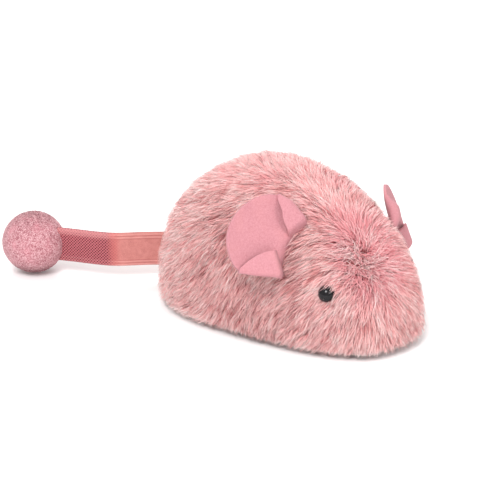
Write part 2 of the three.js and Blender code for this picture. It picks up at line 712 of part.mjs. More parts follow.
function casterFork() {
  const barBottom = forkTop - forkArm.bar;
  const crown = rodZ(casterCrownRadius, casterX, 0, barBottom, forkTop);
  const pieces = [rodZ(casterStemRadius, casterX, 0, forkTop - 0.5, bridgeTop + 2.2, 16)];
  const armOuter = armInner + forkArm.thickness;
  const armBack = casterAxle.x - forkArm.halfWidth;
  pieces.push(box(armBack, casterX, -armOuter, armOuter, barBottom, forkTop));
  for (const side of [-1, 1]) {
    const [y0, y1] = side > 0 ? [armInner, armOuter] : [-armOuter, -armInner];
    pieces.push(box(armBack, casterAxle.x + forkArm.halfWidth, y0, y1, casterRadius - 1.8, forkTop - 0.5));
  }
  const hole = rodY(casterPinRadius + journalClearance, casterAxle.x, casterAxle.z, -10, 10, 16);
  return cutFrom(joinTo(crown, pieces), [hole]);
}
addPiece('caster_fork', 'chassis', casterFork());
addPiece('caster_clip', 'steel',
  ring(casterStemRadius + 0.1, 3, 0, 0.7).rotateX(Math.PI / 2).translate(casterX, 0, bridgeTop + endPlay));
addPiece('caster_pin', 'steel',
  rodY(casterPinRadius, casterAxle.x, casterAxle.z, -armInner - 1.3, armInner + 1.3, 16));
addPiece('caster_wheel', 'rubber',
  ring(casterPinRadius + journalClearance, casterRadius, -casterWidth / 2, casterWidth / 2, 28)
    .translate(casterAxle.x, 0, casterAxle.z));

// Felt ears: shallow dished discs, cut away where they meet the fur. The left one leans further out
const earRoot = { along: 68.6, up: 34.4 };
const ears = {
  right: { side: -1, reach: [-6.4, 8.8, 7.2], facing: [0.84, 0.38, 0.38] },
  left: { side: 1, reach: [-7.6, 9.8, -1.5], facing: [0.75, 0.5, 0.43] },
};

function ear({ side, reach, facing }) {
  const profile = [];
  const rings = 4;
  for (let i = 0; i <= rings; i++) {
    const share = i / rings;
    profile.push([earRadius * share, earDish * share * share]);
  }
  for (let i = rings; i >= 0; i--) {
    const share = i / rings;
    profile.push([earRadius * share, earDish * share * share + earThickness]);
  }
  const mirrored = ([x, y, z]) => new THREE.Vector3(x, side * y, z);
  const centre = furPoint(side, earRoot.along, earRoot.up, 0).add(mirrored(reach));
  const disc = towards(turned(profile, 28), mirrored(facing).normalize(), centre);
  const parts = toSolid(disc).subtract(toSolid(domeSolid(-0.3))).decompose();
  parts.sort((a, b) => b.volume() - a.volume());
  return toGeometry(parts[0]);
}
for (const [label, shape] of Object.entries(ears)) addPiece(`ear_${label}`, 'felt', ear(shape));

addPiece('eye_right', 'bead', eyeBead(-1, 0));
addPiece('eye_left', 'bead', eyeBead(1, 0));

// Tail: the sewn-in end of the webbing with its end clip, the free webbing, and the ball
function webbingBlock(x0, x1, grow) {
  const [half, tall] = [strapThickness / 2 + grow, strapWidth / 2 + grow];
  return box(x0, x1, tailPivot.y - half, tailPivot.y + half, strapMiddle - tall, strapMiddle + tall);
}
addPiece('tail_root_tab', 'webbing', webbingBlock(tailTab.start, tailTab.end, 0));

function tailEndClip() {
  const [x0, x1] = [tailTab.end - 4, tailTab.end + 1];
  return cutFrom(webbingBlock(x0, x1, clipWall), [webbingBlock(x0 - 1, tailTab.end + 0.1, 0.1)]);
}
addPiece('tail_end_clip', 'steel', tailEndClip());

function tailStrap() {
  const route = new THREE.CatmullRomCurve3(strapRoute);
  return new THREE.ExtrudeGeometry(strapSection(), { steps: 24, extrudePath: route, bevelEnabled: false });
}
addPiece('tail_strap', 'webbing', tailStrap());

function ballCover() {
  const outer = new THREE.SphereGeometry(ballRadius, 22, 14);
  const inner = new THREE.SphereGeometry(ballRadius - ballSkin, 16, 10);
  const opening = box(-ballRadius - 5, -ballRadius / 2, -strapThickness / 2 - pocketGap,
    strapThickness / 2 + pocketGap, -strapWidth / 2 - 2 * pocketGap, strapWidth / 2 + 2 * pocketGap);
  const heading = Math.atan2(strapDirection.y, strapDirection.x);
  const cover = cutFrom(outer.rotateX(Math.PI / 2), [inner.rotateX(Math.PI / 2), opening]);
  return cover.rotateZ(heading).translate(ballCentre.x, ballCentre.y, ballCentre.z);
}
addPiece('tail_ball_cover', 'pile', ballCover());
addPiece('tail_ball_core', 'foam', new THREE.SphereGeometry(ballRadius - ballSkin - 0.8, 14, 8)
  .translate(ballCentre.x, ballCentre.y, ballCentre.z));

// Stand the whole toy with the middle of its outline over the origin
const outline = new THREE.Box3().setFromObject(toy);
const middle = outline.getCenter(new THREE.Vector3());
toy.position.set(-middle.x, -middle.y, -outline.min.z);

const group = new THREE.Group();
group.add(toy);

export default group;
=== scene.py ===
import math

import bpy
import numpy as np
from mathutils import Matrix, Vector, kdtree, noise
from mathutils.bvhtree import BVHTree


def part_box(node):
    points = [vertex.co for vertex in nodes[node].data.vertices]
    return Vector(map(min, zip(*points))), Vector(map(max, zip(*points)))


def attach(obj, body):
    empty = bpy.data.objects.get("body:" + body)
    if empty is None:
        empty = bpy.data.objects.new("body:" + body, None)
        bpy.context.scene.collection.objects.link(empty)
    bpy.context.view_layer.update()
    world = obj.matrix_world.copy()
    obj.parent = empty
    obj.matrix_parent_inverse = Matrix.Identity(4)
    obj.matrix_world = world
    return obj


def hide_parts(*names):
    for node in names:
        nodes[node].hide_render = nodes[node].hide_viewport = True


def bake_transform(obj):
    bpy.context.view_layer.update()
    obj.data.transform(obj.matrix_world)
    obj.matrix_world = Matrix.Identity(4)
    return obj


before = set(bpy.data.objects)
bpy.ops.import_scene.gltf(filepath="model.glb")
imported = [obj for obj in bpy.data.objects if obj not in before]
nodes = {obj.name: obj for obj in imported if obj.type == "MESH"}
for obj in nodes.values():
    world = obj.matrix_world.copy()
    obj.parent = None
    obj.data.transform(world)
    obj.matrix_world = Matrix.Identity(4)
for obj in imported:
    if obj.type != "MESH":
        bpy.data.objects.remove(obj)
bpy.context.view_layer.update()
print("frame loaded:", len(nodes), "nodes")

mm = 0.001
coverLow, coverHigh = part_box("plush_cover")
# The body's own origin: the middle of the cover's footprint, on the floor
bodyPlace = Vector(((coverLow.x + coverHigh.x) / 2, (coverLow.y + coverHigh.y) / 2, 0))


def at(x, y, z):
    return bodyPlace + Vector((x, y, z)) * mm


def boxMiddle(node):
    low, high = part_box(node)
    return (low + high) / 2


cameraSettings = {"distance": 700, "height": 20.724, "heading": 44.724, "aim": (0, 0, 30), "lens": 126,
                  "shift": (-0.0931, -0.0134)}


def addCamera(s):
    heading, height = math.radians(s["heading"]), math.radians(s["height"])
    forward = Vector((-math.sin(heading) * math.cos(height), math.cos(heading) * math.cos(height), -math.sin(height)))
    place = at(*s["aim"]) - forward * s["distance"] * mm
    bpy.ops.object.camera_add(location=place, rotation=forward.to_track_quat("-Z", "Y").to_euler())
    camera = bpy.context.object
    camera.name = "studio_camera"
    camera.data.lens = s["lens"]
    camera.data.shift_x, camera.data.shift_y = s["shift"]
    camera.data.clip_start, camera.data.clip_end = 0.01, 50
    bpy.context.scene.camera = camera


addCamera(cameraSettings)


def deselectAll():
    bpy.ops.object.select_all(action="DESELECT")


def makeActive(piece):
    deselectAll()
    piece.select_set(True)
    bpy.context.view_layer.objects.active = piece


def applyModifier(piece, kind, **settings):
    makeActive(piece)
    modifier = piece.modifiers.new(kind.lower(), kind)
    for key, value in settings.items():
        setattr(modifier, key, value)
    bpy.ops.object.modifier_apply(modifier=modifier.name)


def settle(piece):
    makeActive(piece)
    bpy.ops.object.transform_apply(location=True, rotation=True, scale=True)


# A sphere's points and faces come in another order each time, so they are put in one order
def inOrder(piece, digits):
    mesh = piece.data
    places = np.array([v.co for v in mesh.vertices]).round(digits) + 0.0
    order = np.lexsort(places.T)
    rank = np.argsort(order)
    faces = []
    for polygon in mesh.polygons:
        ring = [int(rank[i]) for i in polygon.vertices]
        first = ring.index(min(ring))
        faces.append(tuple(ring[first:] + ring[:first]))
    mesh.clear_geometry()
    mesh.from_pydata(places[order].tolist(), [], sorted(faces))


# Wraps a socket, so that sums written on it add their Math nodes
class Number:
    def __init__(self, finish, socket):
        self.finish = finish
        self.socket = socket

    def join(self, operation, first, second):
        values = [x.socket if isinstance(x, Number) else x for x in (first, second)]
        node = self.finish.node("ShaderNodeMath", {"operation": operation}, {0: values[0], 1: values[1]})
        return Number(self.finish, node.outputs[0])

    def __add__(self, other):
        return self.join("ADD", self, other)

    def __radd__(self, other):
        return self.join("ADD", other, self)

    def __sub__(self, other):
        return self.join("SUBTRACT", self, other)

    def __rsub__(self, other):
        return self.join("SUBTRACT", other, self)

    def __mul__(self, other):
        return self.join("MULTIPLY", self, other)

    def __rmul__(self, other):
        return self.join("MULTIPLY", other, self)

    def above(self, other):
        return self.join("MAXIMUM", self, other)

    def wave(self):
        return self.join("SINE", self, 0)

    def size(self):
        return self.join("ABSOLUTE", self, 0)


# One finish: a material, its shader and the nodes that feed it, with sizes in millimetres
class Finish:
    def __init__(self, name):
        self.material = bpy.data.materials.new(name)
        self.material.use_nodes = True
        self.tree = self.material.node_tree
        self.tree.nodes.clear()
        self.shader = self.node("ShaderNodeBsdfPrincipled")
        self.node("ShaderNodeOutputMaterial", {}, {"Surface": self.shader.outputs[0]})
        self.where = self.node("ShaderNodeTexCoord").outputs["Object"]

    def node(self, kind, settings=None, sockets=None):
        node = self.tree.nodes.new(kind)
        for key, value in (settings or {}).items():
            if key == "stops":
                ramp = node.color_ramp
                while len(ramp.elements) < len(value):
                    ramp.elements.new(1)
                for element, (place, colour) in zip(ramp.elements, value):
                    element.position, element.color = place, (*colour, 1)
            else:
                setattr(node, key, value)
        for key, value in (sockets or {}).items():
            if isinstance(value, Number):
                value = value.socket
            if isinstance(value, bpy.types.NodeSocket):
                self.tree.links.new(value, node.inputs[key])
            else:
                node.inputs[key].default_value = value
        return node

    def noise(self, size, detail=2, roughness=0.5, distortion=0, where=None):
        made = self.node("ShaderNodeTexNoise", {}, {"Vector": where or self.where, "Scale": 1 / (size * mm),
                                                    "Detail": detail, "Roughness": roughness,
                                                    "Distortion": distortion})
        return Number(self, made.outputs["Fac"])

    def attribute(self, name):
        return Number(self, self.node("ShaderNodeAttribute", {"attribute_name": name}).outputs["Fac"])

    def ramp(self, value, stops):
        return self.node("ShaderNodeValToRGB", {"stops": stops}, {"Fac": value}).outputs["Color"]

    def between(self, value, low, high):
        made = self.node("ShaderNodeMapRange", {"interpolation_type": "SMOOTHSTEP"},
                         {"Value": value, "From Min": low, "From Max": high})
        return Number(self, made.outputs["Result"])

    def mix(self, share, first, second, blend="MIX"):
        first, second = [(*c, 1) if isinstance(c, tuple) else c for c in (first, second)]
        made = self.node("ShaderNodeMix", {"data_type": "RGBA", "blend_type": blend},
                         {"Factor": share, 6: first, 7: second})
        return made.outputs[2]

    def bump(self, height, distance, strength=1):
        made = self.node("ShaderNodeBump", {}, {"Height": height, "Distance": distance * mm, "Strength": strength})
        self.tree.links.new(made.outputs["Normal"], self.shader.inputs["Normal"])

    def set(self, **sockets):
        for key, value in sockets.items():
            name = {"colour": "Base Color", "roughness": "Roughness", "metal": "Metallic", "coat": "Coat Weight",
                    "coatRoughness": "Coat Roughness", "gloss": "Specular IOR Level", "sheen": "Sheen Weight",
                    "sheenRoughness": "Sheen Roughness"}[key]
            if isinstance(value, Number):
                value = value.socket
            if isinstance(value, bpy.types.NodeSocket):
                self.tree.links.new(value, self.shader.inputs[name])
            else:
                self.shader.inputs[name].default_value = (*value, 1) if isinstance(value, tuple) else value
        return self.material


# The fur's colours run from the root of a strand to its tip; the dark root and low stops are painted shade deep among
# the strands
furLook = {"root": (0.34, 0.04, 0.05), "low": (0.80, 0.265, 0.275), "high": (1.0, 0.555, 0.55),
           "tip": (1.0, 0.80, 0.775), "mottle": (0.72, 0.19, 0.19), "mottleShare": 0.42,
           "rosy": (0.84, 0.30, 0.345), "rosyShare": 0.62, "shade": (0.36, 0.13, 0.14),
           "pale": (1.0, 0.94, 0.91), "paleShare": 0.7}


def longPile():
    f, s = Finish("long_pile"), furLook
    height, tone = f.attribute("pileHeight"), f.attribute("strandTone")
    # rosyShare lifts the ramp and thins the darkest strands where it is high, most on the upward-facing crown:
    # painted light from above
    rosyShare = f.attribute("rosyShare")
    # The ramp starts dark at the root: painted shade among the strands
    colour = f.ramp(height + rosyShare * 0.17,
                    [(0.0, s["root"]), (0.3, s["low"]), (0.62, s["high"]), (1.0, s["tip"])])
    mottle = f.between(f.noise(8, 3, 0.65), 0.48, 0.68)
    colour = f.mix(mottle * s["mottleShare"], colour, s["mottle"])
    rosy = f.between(rosyShare + f.noise(14, 2) * 0.5, 0.55, 1.0)
    colour = f.mix(rosy * s["rosyShare"], colour, s["rosy"])
    dark = f.mix(1, colour, s["shade"], "MULTIPLY")
    pale = f.mix(s["paleShare"], colour, s["pale"])
    # Fewer strands take the painted shade colour where rosyShare is high, which paints the top lighter
    colour = f.mix(f.between(tone + rosyShare * 0.25, 0.12, 0.42), dark, colour)
    colour = f.mix(f.between(tone, 0.55, 0.95), colour, pale)
    return f.set(colour=colour, roughness=0.6, gloss=0.12)


def pileBacking():
    f = Finish("pile_backing")
    knit = f.noise(0.6, 3, 0.6)
    colour = f.ramp(knit, [(0.3, (0.30, 0.07, 0.07)), (0.7, (0.55, 0.19, 0.18))])
    f.bump(knit, 0.25)
    return f.set(colour=colour, roughness=f.between(knit, 0, 1) * 0.1 + 0.85, gloss=0.1)


feltLook = {"dark": (0.43, 0.165, 0.19), "middle": (0.505, 0.222, 0.25), "light": (0.585, 0.28, 0.31),
            "warm": (0.62, 0.27, 0.27), "warmShare": 0.25}


def pressedFelt():
    f, s = Finish("pressed_felt"), feltLook
    fine, speck = f.noise(0.28, 3, 0.65), f.noise(0.75, 2, 0.7)
    hairs = f.noise(0.5, 4, 0.6, 2.5)
    colour = f.ramp(fine * 0.45 + speck * 0.3 + hairs * 0.25,
                    [(0.34, s["dark"]), (0.5, s["middle"]), (0.66, s["light"])])
    colour = f.mix(f.between(f.noise(9, 2), 0.4, 0.8) * s["warmShare"], colour, s["warm"])
    f.bump(fine * 0.6 + hairs * 0.4, 0.25)
    return f.set(colour=colour, roughness=fine * 0.1 + 0.82, gloss=0.1, sheen=0.1, sheenRoughness=0.5)


def polishedBead():
    f = Finish("polished_bead")
    haze = f.noise(1.4, 3, 0.6)
    colour = f.ramp(haze, [(0.3, (0.004, 0.004, 0.005)), (0.8, (0.012, 0.010, 0.012))])
    return f.set(colour=colour, roughness=f.between(haze, 0.4, 0.9) * 0.08 + 0.06, gloss=0.2, coat=0.12,
                 coatRoughness=0.04)


# Plain weave at the body's end of the webbing, and a diamond mesh at the ball's end
webbingLook = {"meshPitch": 1.3, "ribPitch": 0.55, "grooves": ((4.75, 0.35, 0.1), (6.05, 0.3, 0.08)),
               "plainDark": (0.42, 0.14, 0.125), "plain": (0.56, 0.215, 0.195), "plainLight": (0.68, 0.30, 0.275),
               "cord": (0.54, 0.15, 0.17), "gap": (0.27, 0.035, 0.055), "hole": (0.07, 0.005, 0.014),
               "meshTopEdgeLight": (0.62, 0.24, 0.25), "join": (0.56, 0.13, 0.12), "piping": (0.90, 0.46, 0.43),
               "grooveShade": (0.42, 0.12, 0.11)}


def elasticWebbing():
    f, s = Finish("elastic_webbing"), webbingLook
    along, across, mesh = f.attribute("alongStrap"), f.attribute("acrossStrap"), f.attribute("meshShare")
    pitch = 2 * math.pi / s["meshPitch"]
    one = ((along + across) * pitch).wave()
    two = ((along - across) * pitch).wave()
    knots = f.between(one.above(two), -0.2, 0.9)
    holes = 1 - knots
    fine = f.noise(0.3, 3, 0.6)
    ribs = (across * (2 * math.pi / s["ribPitch"])).wave() * 0.5 + 0.5
    plain = f.ramp(fine * 0.5 + ribs * 0.12 + f.noise(2.5, 2) * 0.4,
                   [(0.3, s["plainDark"]), (0.55, s["plain"]), (0.8, s["plainLight"])])
    # The gap and hole stops are painted shade in and around the mesh openings, inside the flattened tube
    woven = f.ramp(holes, [(0.0, s["cord"]), (0.4, s["gap"]), (1.0, s["hole"])])
    # A lighter band along the mesh's top edge only is painted light from above
    woven = f.mix(f.between(across, 3.6, 6.8) * 0.75, woven, s["meshTopEdgeLight"])
    colour = f.mix(mesh, plain, woven)
    # A darker band where the plain weave meets the mesh is a painted shadow
    colour = f.mix(mesh * (1 - mesh) * 1.8, colour, s["join"])
    colour = f.mix(f.attribute("pipingShare") * 0.35, colour, s["piping"])
    # The grooves beside and between the raised edge ribs are darkened as painted shade
    inner, outer = [f.between((across.size() - place).size(), far, near) for place, far, near in s["grooves"]]
    colour = f.mix((inner + outer) * (1 - mesh) * 0.6, colour, s["grooveShade"])
    f.bump((1 - holes) * mesh * 0.7 + ribs * (1 - mesh) * 0.15 + fine * 0.15, 0.3)
    return f.set(colour=colour, roughness=fine * 0.15 + 0.62, gloss=0.2, sheen=0.1)


ballLook = {"gap": (0.25, 0.07, 0.09), "low": (0.44, 0.19, 0.215), "high": (0.56, 0.31, 0.335),
            "top": (0.69, 0.47, 0.485), "rosy": (0.68, 0.27, 0.32), "rosyShare": 0.3}


def loopedPile():
    f, s = Finish("looped_pile"), ballLook
    height = f.attribute("pileHeight")
    fine = f.noise(0.42, 2, 0.6, 1.2)
    colour = f.ramp(height * 0.22 + fine * 0.9,
                    [(0.42, s["gap"]), (0.50, s["low"]), (0.60, s["high"]), (0.76, s["top"])])
    colour = f.mix(f.between(f.noise(7, 2), 0.5, 0.75) * s["rosyShare"], colour, s["rosy"])
    return f.set(colour=colour, roughness=fine * 0.1 + 0.74, gloss=0.12, sheen=0.2)


def mouldedPlastic(name, colour, grain, rough, coat):
    f = Finish(name)
    fine, broad = f.noise(grain, 3, 0.6), f.noise(grain * 18, 2)
    dark = tuple(c * 0.82 for c in colour)
    light = tuple(min(1, c * 1.12 + 0.01) for c in colour)
    tint = f.ramp(fine * 0.35 + broad * 0.65, [(0.3, dark), (0.55, colour), (0.8, light)])
    f.bump(fine, 0.04)
    return f.set(colour=tint, roughness=broad * 0.15 + rough, gloss=0.45, coat=coat, coatRoughness=0.25)


def workedMetal(name, dark, light, rough, grain):
    f = Finish(name)
    stretch = f.node("ShaderNodeMapping", {}, {"Vector": f.where, "Scale": (1, 1, 9)}).outputs[0]
    brushed, stain = f.noise(grain, 4, 0.65, where=stretch), f.noise(3.5, 3, 0.6)
    tint = f.ramp(brushed * 0.55 + stain * 0.45, [(0.3, dark), (0.7, light)])
    f.bump(brushed, 0.02)
    return f.set(colour=tint, metal=1.0, roughness=brushed * 0.18 + stain * 0.12 + rough)


def rubberTyre():
    f = Finish("tyre_rubber")
    fine, dust = f.noise(0.35, 3, 0.6), f.noise(4, 3, 0.6)
    tint = f.ramp(fine * 0.4 + dust * 0.6, [(0.35, (0.012, 0.012, 0.014)), (0.7, (0.045, 0.043, 0.045))])
    f.bump(fine, 0.08)
    return f.set(colour=tint, roughness=dust * 0.15 + 0.7, gloss=0.3)


def openFoam():
    f = Finish("open_foam")
    cells = f.node("ShaderNodeTexVoronoi", {}, {"Vector": f.where, "Scale": 1 / (0.7 * mm)}).outputs["Distance"]
    cells = Number(f, cells)
    tint = f.ramp(cells, [(0.1, (0.55, 0.47, 0.36)), (0.6, (0.86, 0.80, 0.68))])
    f.bump(cells, 0.3)
    return f.set(colour=tint, roughness=0.9, gloss=0.1)


def paleFloor():
    f = Finish("pale_floor")
    soft = f.noise(60, 2)
    tint = f.ramp(soft, [(0.3, (0.93, 0.93, 0.93)), (0.7, (0.96, 0.96, 0.96))])
    return f.set(colour=tint, roughness=0.9, gloss=0.1)


finishes = {
    "plush": longPile(), "backing": pileBacking(), "felt": pressedFelt(), "bead": polishedBead(),
    "webbing": elasticWebbing(), "pile": loopedPile(), "foam": openFoam(),
    "shell": mouldedPlastic("shell_plastic", (0.78, 0.74, 0.68), 0.5, 0.42, 0.0),
    "chassis": mouldedPlastic("chassis_plastic", (0.045, 0.045, 0.052), 0.4, 0.45, 0.0),
    "key_plastic": mouldedPlastic("key_plastic", (0.88, 0.86, 0.80), 0.6, 0.24, 0.3),
    "steel": workedMetal("plated_steel", (0.42, 0.43, 0.45), (0.72, 0.73, 0.75), 0.2, 0.5),
    "spring_steel": workedMetal("blued_spring", (0.09, 0.11, 0.16), (0.22, 0.25, 0.32), 0.22, 0.5),
    "brass": workedMetal("stamped_brass", (0.48, 0.33, 0.11), (0.80, 0.62, 0.27), 0.22, 0.6),
    "rubber": rubberTyre(),
}


def dress(piece, finish):
    piece.data.materials.clear()
    piece.data.materials.append(finishes[finish])


nodeFinishes = {
    "shell": ["upper_shell"],
    "chassis": ["base_plate", "key_bush", "caster_fork"],
    "steel": ["motor_plate_left", "motor_plate_right", "winding_arbor", "second_arbor", "second_pinion",
              "drive_axle", "axle_pinion", "caster_clip", "caster_pin", "tail_end_clip"],
    "brass": ["great_wheel", "second_wheel"],
    "spring_steel": ["mainspring", "click_star"],
    "key_plastic": ["winding_key", "wheel_hub_left", "wheel_hub_right"],
    "rubber": ["wheel_tyre_left", "wheel_tyre_right", "caster_wheel"],
    "foam": ["tail_ball_core"],
    "bead": ["eye_right", "eye_left"],
    "felt": ["ear_right", "ear_left"],
    "webbing": ["tail_root_tab", "tail_strap"],
    "pile": ["tail_ball_cover"],
    "backing": ["plush_cover"],
}
for finish, names in nodeFinishes.items():
    for name in names:
        dress(nodes[name], finish)
for i in range(1, 5):
    for name in (f"base_screw_{i}", f"motor_screw_{i}", f"motor_pillar_{i}"):
        dress(nodes[name], "steel")
print("materials made:", len(finishes))

lightSettings = [
    {"name": "key_softbox", "place": (260, -520, 620), "size": 0.34, "power": 5.0},
    {"name": "side_softbox", "place": (620, -60, 330), "size": 0.22, "power": 1.2},
    {"name": "back_softbox", "place": (-450, 380, 560), "size": 0.5, "power": 2.3},
]
worldSettings = {"colour": (1.0, 0.985, 0.975), "strength": 0.85}
floorSettings = {"size": 6, "below": 0.5}


def addStudio():
    deselectAll()
    bpy.ops.mesh.primitive_grid_add(x_subdivisions=8, y_subdivisions=8, size=floorSettings["size"],
                                    location=(0, 0, -floorSettings["below"] * mm))
    floor = bpy.context.object
    floor.name = "studio_floor"
    floor.data.materials.append(paleFloor())
    for s in lightSettings:
        place = at(*s["place"])
        aim = (at(0, 0, 25) - place).to_track_quat("-Z", "Y").to_euler()
        bpy.ops.object.light_add(type="AREA", location=place, rotation=aim)
        light = bpy.context.object
        light.name = s["name"]
        light.data.shape = "DISK"
        light.data.size = s["size"]
        light.data.energy = s["power"]
    world = bpy.data.worlds.new("studio_world")
    bpy.context.scene.world = world
    world.use_nodes = True
    background = world.node_tree.nodes["Background"]
    background.inputs["Color"].default_value = (*worldSettings["colour"], 1)
    background.inputs["Strength"].default_value = worldSettings["strength"]
    bpy.context.scene.view_settings.view_transform = "Standard"
    print("studio lit:", len(lightSettings), "lights")


addStudio()

# The backing that the pile is sewn into
dome = {"length": 115, "width": 76.5, "height": 62.5, "hem": 1.5, "widthPower": 0.575, "widthLean": -0.27,
        "heightPower": 0.69, "heightLean": -0.155, "acrossPower": 0.83, "upPower": 0.59,
        "backingInset": 5.0, "backingThickness": 0.9, "bushHole": 4.4}
turns = np.linspace(0.01, math.pi - 0.01, 400)
poleGap = 1e-4


def widthShape(t):
    return np.sin(t) ** dome["widthPower"] * np.exp(dome["widthLean"] * np.cos(t))


def heightShape(t):
    return np.sin(t) ** dome["heightPower"] * np.exp(dome["heightLean"] * np.cos(t))


widthPeak, heightPeak = widthShape(turns).max(), heightShape(turns).max()


def domePoint(inset, t, cosine, sine):
    half = (dome["width"] / 2 - inset) * widthShape(t) / widthPeak
    height = (dome["height"] - inset - dome["hem"]) * heightShape(t) / heightPeak
    return Vector(((dome["length"] / 2 - inset) * math.cos(t),
                   half * math.copysign(abs(cosine) ** dome["acrossPower"], cosine),
                   dome["hem"] + height * max(0.0, sine) ** dome["upPower"]))


def furPoint(side, along, up, inset):
    return domePoint(inset, math.radians(along), side * math.cos(math.radians(up)), math.sin(math.radians(up)))


def backing():
    deselectAll()
    bpy.ops.mesh.primitive_uv_sphere_add(segments=112, ring_count=72, radius=1, rotation=(0, math.pi / 2, 0))
    piece = bpy.context.object
    piece.name = "plush_backing"
    settle(piece)
    inOrder(piece, 6)
    bpy.ops.object.mode_set(mode="EDIT")
    bpy.ops.mesh.select_mode(type="VERT")
    bpy.ops.mesh.select_all(action="DESELECT")
    bpy.ops.object.mode_set(mode="OBJECT")
    for v in piece.data.vertices:
        v.select = v.co.z < -poleGap
    bpy.ops.object.mode_set(mode="EDIT")
    bpy.ops.mesh.delete(type="VERT")
    bpy.ops.object.mode_set(mode="OBJECT")
    for v in piece.data.vertices:
        t = math.acos(max(-1, min(1, v.co.x)))
        across = math.hypot(v.co.y, v.co.z)
        cosine, sine = (v.co.y / across, v.co.z / across) if across > poleGap else (0, 0)
        v.co = at(*domePoint(dome["backingInset"], min(max(t, poleGap), math.pi - poleGap), cosine, sine))
    return piece


backingPiece = backing()


# Even places all over a piece, where strands are rooted
def roots(piece, count, seed):
    piece.data.calc_loop_triangles()
    places = np.array([v.co for v in piece.data.vertices])
    corners = places[np.array([t.vertices for t in piece.data.loop_triangles])]
    sides = np.cross(corners[:, 1] - corners[:, 0], corners[:, 2] - corners[:, 0])
    area = np.linalg.norm(sides, axis=1)
    chance = np.random.default_rng(seed)
    picked = chance.choice(len(area), count, p=area / area.sum())
    a, b = chance.random(count), chance.random(count)
    swap = a + b > 1
    a[swap], b[swap] = 1 - a[swap], 1 - b[swap]
    c = corners[picked]
    return c[:, 0] + (c[:, 1] - c[:, 0]) * a[:, None] + (c[:, 2] - c[:, 0]) * b[:, None]


def unit(rows):
    return rows / np.maximum(np.linalg.norm(rows, axis=1), 1e-12)[:, None]


def step(values, low, high):
    x = np.clip((values - low) / (high - low), 0, 1)
    return x * x * (3 - 2 * x)


# Slow waves through space, which turn the strands in patches
def swirl(points, size, seed):
    chance = np.random.default_rng(seed)
    total = np.zeros(len(points))
    for _ in range(6):
        way = unit(chance.normal(size=(1, 3)))[0] * chance.uniform(0.7, 1.5)
        total += np.sin(points @ way * 2 * math.pi / (size * mm) + chance.uniform(0, 2 * math.pi))
    return total / 3


pile = {"strands": 101000, "length": 9.6, "rise": 4.7, "halfWidth": 0.098, "rings": 3, "clumpSize": 1.8,
        "clumpPull": 0.42, "whorl": (47.0, -5.4, 28.0), "fluff": (43.0, -5.0, 34.8), "pieces": 9,
        "eyeClear": 2.35, "keyClear": 4.6, "seed": 11, "rootSunk": 0.25, "lowest": 0.5, "fluffSize": 11,
        "whorlSize": 9, "whorlPull": 0.58, "locksArea": 17400}
# How the strands lie: each value is a share of the way they point
combed = {"down": 0.75, "downRear": 0.25, "back": 0.24, "backRear": 0.73, "backFace": 0.1, "turnShare": 0.6}
# How much the strands stray: turns and bends in radians, lengths and rises as shares
stray = {"lockTurn": 0.15, "swirlTurn": 0.22, "turn": 0.12, "fluffTurn": 1.1, "bend": 0.2,
         "shortest": 0.62, "lengthRange": 0.62, "lowest": 0.62, "riseRange": 0.75, "riseSwirl": 0.08,
         "crownShorter": 0.2, "fluffShorter": 0.7}
# The pile gets shorter towards the hem, where it is trimmed and hangs free of the backing
hemTrim = {"lowest": 1.3, "range": 2.3, "shortest": 0.12, "lengthAtFloor": 0.3, "fullHeight": 13,
           "leastLength": 0.42, "hangsBelow": 2.2}
# Where the strands are paler or rosier; the rosy share also lightens the strands, most on the upward-facing crown, as
# painted light from above
tinting = {"strand": 0.55, "lock": 0.45, "rearPaler": 0.14, "fluffPaler": 0.15, "crownRosyAndPaintedLight": 0.45,
           "faceRosy": 0.3, "fluffRosy": 0.8}
eyeSettings = {"along": 47, "up": 22.9, "sunk": 1.15, "radius": 3.3, "flatness": 0.88,
               "look": (0.42, 0.85, 0.32), "partingSize": 4.5, "partingPull": 0.42}
bodyOrigin = np.array(bodyPlace)
keyAxis = np.array(boxMiddle("winding_arbor"))
eyes = [np.array(at(*furPoint(side, eyeSettings["along"], eyeSettings["up"], eyeSettings["sunk"])))
        for side in (-1, 1)]


# The way the strands point: down the flanks, back over the rump, away from the whorl and the eyes
def combing(points, normals, turn):
    local = (points - bodyOrigin) / mm
    rear = step(-local[:, 0], -12, 38)[:, None]
    face = step(local[:, 0], 2, 30)[:, None]
    away = unit(local - np.array(pile["whorl"]))
    c = combed
    way = (np.array([0, 0, -1.0]) * (c["down"] + c["downRear"] * rear)
           + np.array([-1.0, 0, 0]) * (c["back"] + c["backRear"] * rear - c["backFace"] * face))
    fromWhorl = np.linalg.norm(local - np.array(pile["whorl"]), axis=1)
    spread = 1 - np.exp(-(fromWhorl / pile["whorlSize"]) ** 2)[:, None]
    way = way + away * face * spread * pile["whorlPull"]
    for eye in eyes:
        reach = points - eye
        near = np.exp(-(np.linalg.norm(reach, axis=1) / (eyeSettings["partingSize"] * mm)) ** 2)[:, None]
        way = way + unit(reach) * near * eyeSettings["partingPull"]
    way = unit(way - normals * np.sum(way * normals, axis=1)[:, None])
    side = np.cross(normals, way)
    return unit(way * np.cos(turn)[:, None] + side * np.sin(turn)[:, None])


